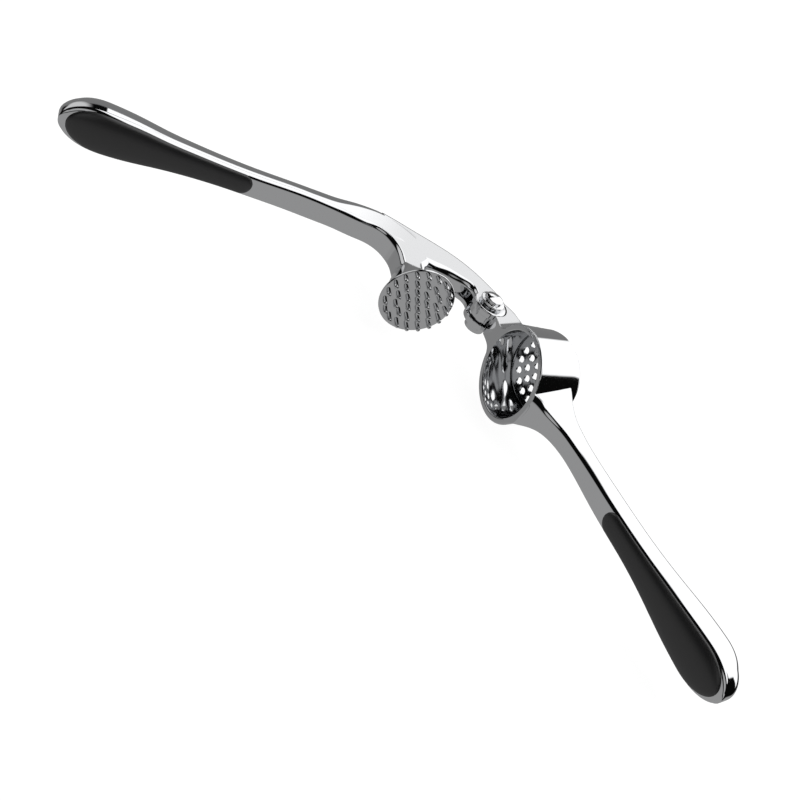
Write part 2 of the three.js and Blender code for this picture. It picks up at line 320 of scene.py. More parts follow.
def finish_piece(
    piece: bpy.types.Object,
    body: Body,
    material: bpy.types.Material,
    replaced: str,
) -> bpy.types.Object:
    """Place a finished piece, shade it, dress it and hang it on its body.

    Args:
        piece: the object, still in its body's own millimetres.
        body: the body that it rides on.
        material: its finish.
        replaced: the CAD node that it stands for.

    Returns:
        The same object.
    """
    bm = bmesh.new()
    bm.from_mesh(piece.data)
    bmesh.ops.remove_doubles(bm, verts=bm.verts[:], dist=WELD * 20)
    bmesh.ops.dissolve_degenerate(bm, edges=bm.edges[:], dist=WELD)
    bm.transform(body.place)
    for face in bm.faces:
        face.smooth = True
    for edge in bm.edges:
        edge.smooth = not edge.is_manifold or edge.calc_face_angle(0.0) < SHARP_ANGLE
    bm.to_mesh(piece.data)
    bm.free()
    piece.name = replaced + "_surface"
    piece.data.materials.clear()
    piece.data.materials.append(material)
    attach(piece, body.value)
    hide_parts(replaced)
    LOG.info("%s: %d faces", piece.name, len(piece.data.polygons))
    return piece


# ---- finishes ------------------------------------------------------------------------------------


def node_group(
    name: str, inputs: dict[str, float], outputs: dict[str, str]
) -> tuple[bpy.types.NodeTree, bpy.types.Node, bpy.types.Node]:
    """Start a shader node group.

    Args:
        name: the group's name.
        inputs: float inputs and their default values.
        outputs: output names and their socket types.

    Returns:
        The group, its input node and its output node.
    """
    group = bpy.data.node_groups.new(name, "ShaderNodeTree")
    for label, value in inputs.items():
        socket = group.interface.new_socket(label, in_out="INPUT", socket_type="NodeSocketFloat")
        socket.default_value = value
    for label, kind in outputs.items():
        group.interface.new_socket(label, in_out="OUTPUT", socket_type=kind)
    return group, group.nodes.new("NodeGroupInput"), group.nodes.new("NodeGroupOutput")


def cast_wander_group() -> bpy.types.NodeTree:
    """Make the slow unevenness of a polished casting, and the fine haze of handling.

    Returns:
        The node group, which puts out a roughness and a height.
    """
    group, source, sink = node_group(
        "cast_wander",
        {"Wave Scale": 60.0, "Haze Scale": 900.0, "Low": 0.04, "High": 0.1},
        {"Roughness": "NodeSocketFloat", "Height": "NodeSocketFloat"},
    )
    nodes, links = group.nodes, group.links
    coords = nodes.new("ShaderNodeTexCoord")
    wave = nodes.new("ShaderNodeTexNoise")
    wave.inputs["Detail"].default_value = 2.0
    haze = nodes.new("ShaderNodeTexNoise")
    haze.inputs["Detail"].default_value = 4.0
    haze.inputs["Roughness"].default_value = 0.7
    spread = nodes.new("ShaderNodeMapRange")
    links.new(coords.outputs["Object"], wave.inputs["Vector"])
    links.new(coords.outputs["Object"], haze.inputs["Vector"])
    links.new(source.outputs["Wave Scale"], wave.inputs["Scale"])
    links.new(source.outputs["Haze Scale"], haze.inputs["Scale"])
    links.new(haze.outputs["Fac"], spread.inputs["Value"])
    links.new(source.outputs["Low"], spread.inputs["To Min"])
    links.new(source.outputs["High"], spread.inputs["To Max"])
    links.new(spread.outputs["Result"], sink.inputs["Roughness"])
    links.new(wave.outputs["Fac"], sink.inputs["Height"])
    return group


@dataclass(frozen=True)
class MetalFinish:
    """A plated or polished metal.

    low and high are the ends of its roughness, wave is the scale of its slow unevenness, and bump
    is how deep that is in millimetres.
    """

    name: str
    colour: tuple[float, float, float]
    low: float
    high: float
    wave: float
    bump: float

    def build(self, wander: bpy.types.NodeTree) -> bpy.types.Material:
        """Make the material.

        Args:
            wander: the shared group, which is given this metal's values.

        Returns:
            The material.
        """
        material = bpy.data.materials.new(self.name)
        material.use_nodes = True
        nodes, links = material.node_tree.nodes, material.node_tree.links
        shader = nodes["Principled BSDF"]
        shader.inputs["Base Color"].default_value = (*self.colour, 1.0)
        shader.inputs["Metallic"].default_value = 1.0
        group = nodes.new("ShaderNodeGroup")
        group.node_tree = wander
        group.inputs["Wave Scale"].default_value = self.wave
        group.inputs["Low"].default_value = self.low
        group.inputs["High"].default_value = self.high
        bump = nodes.new("ShaderNodeBump")
        bump.inputs["Strength"].default_value = 1.0
        bump.inputs["Distance"].default_value = self.bump * MM
        links.new(group.outputs["Roughness"], shader.inputs["Roughness"])
        links.new(group.outputs["Height"], bump.inputs["Height"])
        links.new(bump.outputs["Normal"], shader.inputs["Normal"])
        return material


@dataclass(frozen=True)
class RubberFinish:
    """Smooth satin rubber with a very fine moulded grain."""

    name: str
    colour: tuple[float, float, float]
    worn: tuple[float, float, float]
    roughness: tuple[float, float]
    sheen_level: float = 0.9
    cloud_scale: float = 120.0
    grain_scale: float = 3500.0
    grain_strength: float = 0.35
    grain_depth: float = 0.03

    def build(self) -> bpy.types.Material:
        """Make the material.

        Returns:
            The material.
        """
        material = bpy.data.materials.new(self.name)
        material.use_nodes = True
        nodes, links = material.node_tree.nodes, material.node_tree.links
        shader = nodes["Principled BSDF"]
        shader.inputs["Specular IOR Level"].default_value = self.sheen_level
        coords = nodes.new("ShaderNodeTexCoord")
        cloud = nodes.new("ShaderNodeTexNoise")
        cloud.inputs["Scale"].default_value = self.cloud_scale
        cloud.inputs["Detail"].default_value = 3.0
        grain = nodes.new("ShaderNodeTexNoise")
        grain.inputs["Scale"].default_value = self.grain_scale
        grain.inputs["Detail"].default_value = 2.0
        tint = nodes.new("ShaderNodeMix")
        tint.data_type = "RGBA"
        tint.inputs["A"].default_value = (*self.colour, 1.0)
        tint.inputs["B"].default_value = (*self.worn, 1.0)
        spread = nodes.new("ShaderNodeMapRange")
        spread.inputs["To Min"].default_value = self.roughness[0]
        spread.inputs["To Max"].default_value = self.roughness[1]
        bump = nodes.new("ShaderNodeBump")
        bump.inputs["Strength"].default_value = self.grain_strength
        bump.inputs["Distance"].default_value = self.grain_depth * MM
        links.new(coords.outputs["Object"], cloud.inputs["Vector"])
        links.new(coords.outputs["Object"], grain.inputs["Vector"])
        links.new(cloud.outputs["Fac"], tint.inputs["Factor"])
        links.new(tint.outputs["Result"], shader.inputs["Base Color"])
        links.new(cloud.outputs["Fac"], spread.inputs["Value"])
        links.new(spread.outputs["Result"], shader.inputs["Roughness"])
        links.new(grain.outputs["Fac"], bump.inputs["Height"])
        links.new(bump.outputs["Normal"], shader.inputs["Normal"])
        return material


@dataclass(frozen=True)
class Finishes:
    """The materials that the pieces share."""

    chrome: bpy.types.Material
    steel: bpy.types.Material
    rubber: bpy.types.Material

    @classmethod
    def build(cls) -> "Finishes":
        """Make every material once.

        Returns:
            The materials.
        """
        wander = cast_wander_group()
        chrome = MetalFinish(
            "cast_chrome", (0.74, 0.745, 0.755), low=0.03, high=0.075, wave=45.0, bump=0.02
        )
        steel = MetalFinish(
            "sieve_steel", (0.62, 0.63, 0.645), low=0.1, high=0.2, wave=140.0, bump=0.01
        )
        rubber = RubberFinish(
            "grip_rubber", (0.024, 0.024, 0.025), (0.032, 0.032, 0.033), roughness=(0.36, 0.46)
        )
        return cls(chrome.build(wander), steel.build(wander), rubber.build())


# ---- bars with a flat face and a rounded back ----------------------------------------------------


@dataclass(frozen=True)
class Bar:
    """A cast bar with a flat face and a rounded back.

    Each row holds the face's x and y, the back's x and y, half the width, and the roundings of the
    back and of the face. The free end is rounded in plan over the last nose millimetres, where the
    bar also thins to tip_depth of its depth. The back's rounding is back_stretch times as deep as
    it is wide, but takes no more than back_reach of the depth.
    """

    rows: tuple[Row, ...]
    stations: int
    nose: float = 0.0
    tip_depth: float = 0.32
    back_stretch: float = 1.25
    back_reach: float = 0.66
    flat_points: int = 4
    edge_steps: int = 6
    back_steps: int = 10
    support: float = 0.12
    most_edge: float = 0.55
    most_back: float = 0.95
    most_depth: float = 0.98
    nose_stations: float = 0.28
    nose_power: float = 2.3
    droop_power: float = 1.6
    droop_edge: float = 0.8
    droop_reach: float = 0.12
    least_tip: float = 0.02

    def half_section(
        self, depth: float, half: float, back: float, edge: float, reach: float
    ) -> list[Pair]:
        """The section from the middle of the face round to the middle of the back.

        Args:
            depth: from the face to the back.
            half: half the bar's width.
            back: the rounding of the back edges.
            edge: the rounding of the face's edges.
            reach: the share of the depth that the back's rounding takes beyond its own.

        Returns:
            (depth, width) pairs.
        """
        edge_room = (self.most_depth - self.back_reach - reach) * depth
        edge = min(edge, self.most_edge * half, edge_room)
        back = min(back, self.most_back * half)
        deep = min(self.back_stretch * back + reach * depth, (self.back_reach + reach) * depth)
        near = min(self.support, 0.1 * half)
        flat = half - edge - near
        pairs = [(0.0, flat * i / self.flat_points) for i in range(self.flat_points + 1)]
        for i in range(self.edge_steps + 1):
            angle = math.pi / 2 * i / self.edge_steps
            pairs.append((edge * (1 - math.cos(angle)), half - edge * (1 - math.sin(angle))))
        flank = depth - deep - edge
        for share in (min(0.2, near / flank), 0.5, max(0.8, 1 - near / flank)):
            pairs.append((edge + flank * share, half))
        for i in range(self.back_steps + 1):
            angle = math.pi / 2 * i / self.back_steps
            width = half - back * (1 - math.cos(angle))
            pairs.append((depth - deep * (1 - math.sin(angle)), width))
        return pairs

    def ring(self, row: Row, shrink: float) -> list[Vector]:
        """The closed section at one row.

        Args:
            row: one row, as in rows.
            shrink: 1 along the bar, falling to 0 at the rounded end.

        Returns:
            The section's points in order.
        """
        face, back = Vector((row[0], row[1], 0.0)), Vector((row[2], row[3], 0.0))
        depth = (back - face).length * (self.tip_depth + (1 - self.tip_depth) * shrink)
        inward = (back - face).normalized()
        half = row[4] * max(shrink, self.least_tip)
        droop = (1.0 - shrink) ** self.droop_power if self.nose else 0.0
        back_edge = row[5] + droop * (half - row[5])
        edge = row[6] + self.droop_edge * droop
        upper = self.half_section(depth, half, back_edge, edge, self.droop_reach * droop)
        points = [face + inward * d + Vector((0.0, 0.0, z)) for d, z in upper]
        lower = [face + inward * d - Vector((0.0, 0.0, z)) for d, z in upper[:0:-1] if z > 1e-9]
        return points + lower

    def build(self) -> bmesh.types.BMesh:
        """Make the bar as one closed skin.

        Returns:
            The closed solid.
        """
        length = sum(math.dist(a[:2], b[:2]) for a, b in zip(self.rows, self.rows[1:]))
        share = self.nose / length
        plain = 1.0 - self.nose_stations if self.nose else 1.0

        def near(step: float) -> float:
            """Set the stations close together towards the free end.

            Args:
                step: an even 0..1 step.

            Returns:
                Its 0..1 place along the bar.
            """
            if step <= plain:
                return step / plain * (1 - share)
            turn = (step - plain) / (1 - plain) * math.pi / 2
            return 1 - share + share * math.sin(turn)

        rows = smooth_rows(self.rows, self.stations, near)
        rings = []
        for i, row in enumerate(rows):
            step = i / (self.stations - 1)
            past = max(0.0, (near(step) - 1 + share) / share) if self.nose else 0.0
            rings.append(self.ring(row, math.sqrt(max(0.0, 1 - past**self.nose_power))))
        bm = bmesh.new()
        skin(bm, rings)
        return bm


@dataclass(frozen=True)
class GripPad:
    """A soft inlay that follows the handle's face from a round start to the handle's tip.

    side is 1 where the handle's back is towards +Y, and -1 where it is towards -Y. The handle's
    shape is read from the x of read_from on, where its rows run along X. frame is the width of
    metal left round the inlay, and crown is its height where it is crown_half wide on each side of
    its middle.
    """

    handle: Bar
    side: float
    read_from: float = 80.0
    start: float = 93.5
    end: float = 158.9
    nose_start: float = 146.0
    nose_power: float = 2.3
    frame: float = 0.75
    depth: float = 4.2
    crown: float = 2.0
    crown_half: float = 7.0
    crown_steps: int = 9
    crown_power: float = 0.75
    shoulder: float = 0.995
    back_share: float = 0.92
    wall_points: Pair = (0.3, 0.05)
    gap: float = 0.12
    least_half: float = 0.06
    start_steps: int = 16
    middle_steps: int = 30
    nose_steps: int = 20
    fine_rows: int = 600

    def build(self, grow: float, deep: float, crown: float) -> bmesh.types.BMesh:
        """Make the inlay, or the channel that it lies in.

        Args:
            grow: how much wider than the pad the solid is on every side.
            deep: how far it reaches behind the face.
            crown: how far it stands in front of the face.

        Returns:
            The closed solid.
        """
        rows = smooth_rows(self.handle.rows, self.fine_rows, lambda step: step)
        table = np.array([(row[0], row[1], row[4]) for row in rows if row[0] > self.read_from])
        half_start = float(np.interp(self.start, table[:, 0], table[:, 2])) - self.frame
        places = []
        for i in range(self.start_steps):
            turn = math.pi / 2 * i / self.start_steps
            places.append(self.start - grow + (half_start + grow) * (1 - math.cos(turn)))
        middle = np.linspace(self.start + half_start, self.nose_start, self.middle_steps)
        places += list(middle[:-1])
        reach = self.end + grow - self.nose_start
        for i in range(self.nose_steps + 1):
            places.append(self.nose_start + reach * math.sin(math.pi / 2 * i / self.nose_steps))
        rings = []
        for x in places:
            face = float(np.interp(x, table[:, 0], table[:, 1]))
            half = float(np.interp(x, table[:, 0], table[:, 2])) - self.frame + grow
            early = max(0.0, 1 - (x - self.start + grow) / (half_start + grow))
            late = max(0.0, (x - self.nose_start) / reach)
            swell = math.sqrt(max(0.0, 1 - early**2))
            swell *= math.sqrt(max(0.0, 1 - late**self.nose_power))
            rings.append(self._ring(x, face, max(half * swell, self.least_half), deep, crown))
        bm = bmesh.new()
        skin(bm, rings)
        return bm

    def _ring(self, x: float, face: float, half: float, deep: float, crown: float) -> list[Vector]:
        """One section: a flat back, straight sides and a softly crowned front.

        Args:
            x: where the section stands along the handle.
            face: the height of the handle's face there.
            half: half the section's width.
            deep: how far it reaches behind the face.
            crown: how far the widest section stands in front of the face.

        Returns:
            The section's points in order.
        """
        lift = crown * half / self.crown_half
        pairs = [(-deep, 0.0), (-deep, half * self.back_share)]
        pairs += [(-below, half) for below in self.wall_points]
        for i in range(1, self.crown_steps + 1):
            angle = math.pi / 2 * i / self.crown_steps
            width = half * math.cos(angle) ** self.crown_power * self.shoulder
            pairs.append((lift * math.sin(angle), width))
        points = [Vector((x, face - self.side * d, z)) for d, z in pairs]
        lower = [Vector((x, face - self.side * d, -z)) for d, z in pairs[-2:0:-1]]
        return points + lower


# ---- the hopper side -----------------------------------------------------------------------------


@dataclass(frozen=True)
class Hopper:
    """The round cup that holds the garlic, with its mouth cut at a slant."""

    axis_x: float = 31.3
    bore: float = 15.65
    rim_radius: float = 18.0
    rim_y: float = -9.27
    tilt: float = math.radians(16.3)
    ledge_y: float = 9.9
    ledge_bore: float = 14.3
    base_y: float = 10.7
    foot_radius: float = 16.5
    still_y: float = 8.0
    level_gap: float = 1.2
    levels: int = 15
    slack: float = 0.004
    steps: int = 288

    def rim_at(self, x: float) -> float:
        """The height of the mouth's plane at x."""
        return self.rim_y - math.tan(self.tilt) * (x - self.axis_x)

    def slant(self, bm: bmesh.types.BMesh) -> None:
        """Slide the mouth's end of the wall along Y until the rim lies in the slanted plane.

        Args:
            bm: the cup, which is changed. What lies past still_y stays where it is.
        """
        for vert in bm.verts:
            share = (self.still_y - vert.co.y) / (self.still_y - self.rim_y)
            weight = min(1.0, max(0.0, share))
            vert.co.y -= math.tan(self.tilt) * (vert.co.x - self.axis_x) * weight

    def trim(self, bm: bmesh.types.BMesh) -> bmesh.types.BMesh:
        """Cut off whatever stands beyond the mouth's plane, and close the cut.

        Args:
            bm: the solid, which is changed.

        Returns:
            The same mesh.
        """
        cut = bmesh.ops.bisect_plane(
            bm,
            geom=bm.verts[:] + bm.edges[:] + bm.faces[:],
            dist=WELD,
            plane_co=(self.axis_x, self.rim_y - self.slack, 0.0),
            plane_no=(-math.sin(self.tilt), -math.cos(self.tilt), 0.0),
            clear_outer=True,
        )
        edges = [item for item in cut["geom_cut"] if isinstance(item, bmesh.types.BMEdge)]
        bmesh.ops.holes_fill(bm, edges=edges, sides=0)
        bmesh.ops.recalc_face_normals(bm, faces=bm.faces[:])
        return bm

    def shell(self) -> bmesh.types.BMesh:
        """Make the cup's wall, with the ledge that carries the sieve.

        Returns:
            The solid as a new mesh.
        """
        lean = (self.rim_radius - self.foot_radius) / (self.base_y - self.rim_y)
        heights = [self.base_y - self.level_gap * (i + 1) for i in range(self.levels)]
        heights.append(self.rim_y + self.level_gap / 2)
        levels = [(self.foot_radius + lean * (self.base_y - y), y) for y in heights]
        inner = [(self.bore, y) for y in (-5.0, -1.0, 4.0)]
        rows = [
            (self.bore, self.ledge_y),
            (self.ledge_bore, self.ledge_y),
            (self.ledge_bore, self.base_y, 0.25),
            (self.foot_radius, self.base_y, 1.0),
            *levels,
            (self.rim_radius, self.rim_y, 0.45),
            (self.bore, self.rim_y, 0.5),
            *inner,
        ]
        bm = turned(rounded(rows), self.steps, self.axis_x)
        self.slant(bm)
        return bm

    def core(self) -> bmesh.types.BMesh:
        """Make the space inside the cup, which clears whatever reaches through its wall.

        Returns:
            The solid as a new mesh, longer than the cup at both ends.
        """
        far = 40.0
        rows = [(0.0, far), (self.ledge_bore, far), (self.ledge_bore, self.ledge_y)]
        rows += [(self.bore, self.ledge_y), (self.bore, -far), (0.0, -far)]
        return turned(rows, self.steps, self.axis_x)


# The hopper lever's neck, which starts inside the cup's wall, and its handle.
HANDLE_ROWS: tuple[Row, ...] = (
    (40.0, -19.5, 40.0, 6.2, 11.9, 0.8, 2.4),
    (43.0, -18.4, 43.0, 6.1, 10.3, 0.8, 2.4),
    (45.6, -17.0, 45.6, 6.0, 8.8, 0.8, 2.4),
    (47.0, -16.0, 47.0, 6.0, 8.0, 0.8, 2.4),
    (48.7, -14.3, 48.7, 5.9, 7.05, 0.9, 2.4),
    (50.6, -11.9, 50.7, 5.7, 6.0, 1.1, 2.2),
    (53.6, -9.4, 54.0, 5.4, 4.75, 1.4, 1.9),
    (57.0, -7.6, 57.4, 5.0, 4.1, 1.7, 1.6),
    (61.0, -6.4, 61.2, 4.5, 3.9, 2.0, 1.5),
    (66.0, -5.9, 66.0, 3.9, 3.8, 2.2, 1.5),
    (75.0, -6.2, 75.0, 3.0, 4.0, 2.5, 1.5),
    (90.0, -7.6, 90.0, 2.0, 4.5, 2.8, 1.5),
    (110.0, -8.6, 110.0, 1.6, 5.0, 3.1, 1.5),
    (122.0, -9.4, 122.0, 1.7, 5.9, 3.5, 1.5),
    (134.0, -10.5, 134.0, 2.2, 7.1, 4.2, 1.5),
    (146.0, -11.3, 146.0, 2.5, 7.95, 5.2, 1.5),
    (154.0, -11.8, 154.0, 2.4, 8.1, 6.0, 1.5),
    (161.5, -12.3, 161.5, 1.8, 8.1, 6.6, 1.5),
)


@dataclass(frozen=True)
class HopperSide:
    """The hopper lever with its sieve and grip."""

    finishes: Finishes
    hopper: Hopper = Hopper()
    handle: Bar = Bar(HANDLE_ROWS, stations=170, nose=15.5)
    knuckle_seat: float = 7.0
    pivot_hole: float = 2.8
    tongue_radius: float = 5.6
    tongue_half: float = 1.9
    bore_reach: float = 9.0

    def lug(self) -> bmesh.types.BMesh:
        """Make the short arm between the cup and the hinge.

        Returns:
            The closed solid.
        """
        rim = self.hopper.rim_at
        rows = (
            (6.65, rim(6.65), -1.2, 7.7, 4.62, 0.9, 0.35),
            (8.0, rim(8.0), 2.6, 9.6, 4.62, 0.9, 0.35),
            (9.8, rim(9.8), 7.0, 10.4, 4.62, 0.9, 0.35),
            (11.6, rim(11.6), 10.5, 10.3, 4.75, 0.9, 0.35),
            (13.2, rim(13.2), 12.8, 10.1, 5.3, 0.9, 0.35),
            (14.6, rim(14.6), 14.3, 9.9, 6.5, 0.9, 0.35),
            (15.8, rim(15.8), 15.6, 9.7, 8.1, 0.9, 0.35),
            (17.0, rim(17.0), 17.0, 9.7, 10.1, 0.9, 0.35),
        )
        return Bar(rows, stations=44).build()

    def tongue(self) -> bmesh.types.BMesh:
        """The hinge eye that sits in the press lever's fork."""
        return drum(self.tongue_radius, self.tongue_half, edge=0.3)

    def lever(self) -> bpy.types.Object:
        """Build the whole casting.

        Returns:
            The finished piece.
        """
        piece = to_object(self.hopper.shell(), "hopper_lever_surface")
        outside = to_object(self.hopper.trim(self.handle.build()), "handle")
        work(outside, self.lug_with_seat(), Join.ADD)
        work(outside, self.hopper.core(), Join.CUT)
        bm = bmesh.new()
        bm.from_mesh(outside.data)
        work(piece, bm, Join.ADD)
        bpy.data.objects.remove(outside)
        pad = self.pad()
        work(piece, pad.build(pad.gap, pad.depth + pad.gap, pad.crown), Join.CUT)
        web = brick((0.0, -1.2, -self.tongue_half), (9.0, 5.0, self.tongue_half))
        work(piece, web, Join.ADD)
        work(piece, self.tongue(), Join.ADD)
        work(piece, drum(self.pivot_hole, self.bore_reach, 48), Join.CUT)
        return finish_piece(
            piece, Body.HOPPER, self.finishes.chrome, "hopper_lever"
        )

    def lug_with_seat(self) -> bmesh.types.BMesh:
        """Make the lug, hollowed round the fork's knuckle.

        Returns:
            The closed solid.
        """
        lug = to_object(self.lug(), "lug")
        work(lug, drum(self.knuckle_seat, self.bore_reach, 128), Join.CUT)
        bm = bmesh.new()
        bm.from_mesh(lug.data)
        bpy.data.objects.remove(lug)
        return bm

    def pad(self) -> GripPad:
        """The grip's shape."""
        return GripPad(self.handle, side=1.0)

    def grip(self) -> bpy.types.Object:
        """Build the soft grip.

        Returns:
            The finished piece.
        """
        pad = self.pad()
        piece = to_object(pad.build(0.0, pad.depth, pad.crown), "hopper_grip")
        return finish_piece(
            piece, Body.HOPPER, self.finishes.rubber, "hopper_grip_pad"
        )

    def sieve(self) -> bpy.types.Object:
        """Build the perforated plate.

        Returns:
            The finished piece.
        """
        top = self.hopper.ledge_y - 0.05
        piece = to_object(Sieve(self.hopper.axis_x, top).build(), "sieve")
        return finish_piece(piece, Body.HOPPER, self.finishes.steel, "sieve_plate")

    def build(self) -> None:
        """Build every piece of this side."""
        self.lever()
        self.sieve()
        self.grip()


@dataclass(frozen=True)
class PinPattern:
    """A centre place and rings of 6, 12 and 18 places round it."""

    pitch: float = 3.95
    rings: int = 3

    def places(self) -> list[Pair]:
        """List every place, from the centre outwards.

        Returns:
            The places as pairs about the centre.
        """
        out = [(0.0, 0.0)]
        for ring in range(1, self.rings + 1):
            for step in range(6 * ring):
                angle = math.tau * step / (6 * ring)
                radius = ring * self.pitch
                out.append((radius * math.cos(angle), radius * math.sin(angle)))
        return out


@dataclass(frozen=True)
class Sieve:
    """The perforated plate, flat, with a hole for every pin."""

    axis_x: float
    top: float
    radius: float = 15.35
    thickness: float = 0.95
    hole: float = 1.3
    steps: int = 160
    hole_steps: int = 32
    edge: float = 0.15

    def build(self) -> bmesh.types.BMesh:
        """Make the plate from its outline and its holes, then give it its thickness.

        Returns:
            The solid as a new mesh.
        """
        bm = bmesh.new()
        bmesh.ops.create_circle(bm, segments=self.steps, radius=self.radius)
        for x, z in PinPattern().places():
            ring = bmesh.ops.create_circle(bm, segments=self.hole_steps, radius=self.hole)
            bmesh.ops.translate(bm, vec=(x, z, 0.0), verts=ring["verts"])
        upwards = (0.0, 0.0, 1.0)
        bmesh.ops.triangle_fill(bm, edges=bm.edges[:], use_beauty=True, normal=upwards)
        grown = bmesh.ops.extrude_face_region(bm, geom=bm.faces[:])
        moved = [item for item in grown["geom"] if isinstance(item, bmesh.types.BMVert)]
        bmesh.ops.translate(bm, vec=(0.0, 0.0, self.thickness), verts=moved)
        bmesh.ops.recalc_face_normals(bm, faces=bm.faces[:])
        bevel_all(bm, self.edge, 2, math.radians(60))
        turn = Matrix.Rotation(math.pi / 2, 4, "X")
        bm.transform(Matrix.Translation((self.axis_x, self.top, 0.0)) @ turn)
        return bm


# ---- the press side ------------------------------------------------------------------------------

# The leg, the bend and the handle. The flanks are flat, so the sections can fan round the bend.
PRESS_ROWS: tuple[Row, ...] = (
    (36.8, -3.0, 27.4, -3.0, 4.6, 1.6, 1.5),
    (37.4, -7.0, 26.7, -6.2, 4.6, 1.8, 1.7),
    (37.5, -12.6, 26.0, -10.0, 4.6, 1.8, 1.7),
    (39.3, -18.6, 23.5, -15.0, 4.6, 1.4, 1.7),
    (42.0, -22.0, 25.5, -24.5, 4.6, 1.2, 1.5),
    (45.6, -23.7, 35.5, -33.4, 4.6, 1.4, 1.5),
    (50.0, -24.2, 46.0, -36.4, 4.6, 2.0, 1.5),
    (54.5, -24.7, 53.5, -36.7, 4.6, 2.8, 1.5),
    (58.8, -25.4, 58.8, -36.4, 4.6, 3.4, 1.5),
    (66.8, -26.1, 66.8, -36.2, 4.75, 3.9, 1.5),
    (79.0, -26.5, 79.0, -36.1, 4.75, 4.2, 1.5),
    (91.0, -26.1, 91.0, -36.0, 4.6, 4.2, 1.5),
    (105.0, -25.9, 105.0, -36.1, 4.8, 4.3, 1.5),
    (116.0, -25.6, 116.0, -36.4, 5.35, 4.6, 1.5),
    (126.0, -25.1, 126.0, -36.8, 6.15, 4.9, 1.5),
    (136.0, -24.7, 136.0, -37.5, 7.35, 5.3, 1.5),
    (146.0, -24.4, 146.0, -38.1, 7.95, 5.6, 1.5),
    (154.0, -24.8, 154.0, -38.4, 8.1, 5.8, 1.5),
    (161.5, -25.3, 161.5, -38.8, 8.1, 6.0, 1.5),
)
# The arm from the fork to the bend, hollow on its inner side.
ARM_ROWS: tuple[Row, ...] = (
    (6.2, -1.5, -7.9, -2.2, 4.6, 0.9, 1.0),
    (5.6, -4.2, -6.8, -5.6, 4.6, 0.9, 1.3),
    (6.9, -7.6, -3.7, -10.2, 4.6, 0.9, 2.0),
    (11.8, -9.9, 1.5, -16.4, 4.6, 0.95, 2.4),
    (17.0, -11.6, 8.6, -22.3, 4.6, 1.0, 2.5),
    (22.0, -12.3, 17.0, -26.6, 4.6, 1.0, 2.5),
    (27.5, -13.6, 26.0, -30.0, 4.6, 1.1, 2.2),
    (34.0, -19.0, 34.0, -33.2, 4.6, 1.3, 1.1),
    (39.0, -25.0, 41.0, -35.6, 4.6, 1.5, 1.1),
)


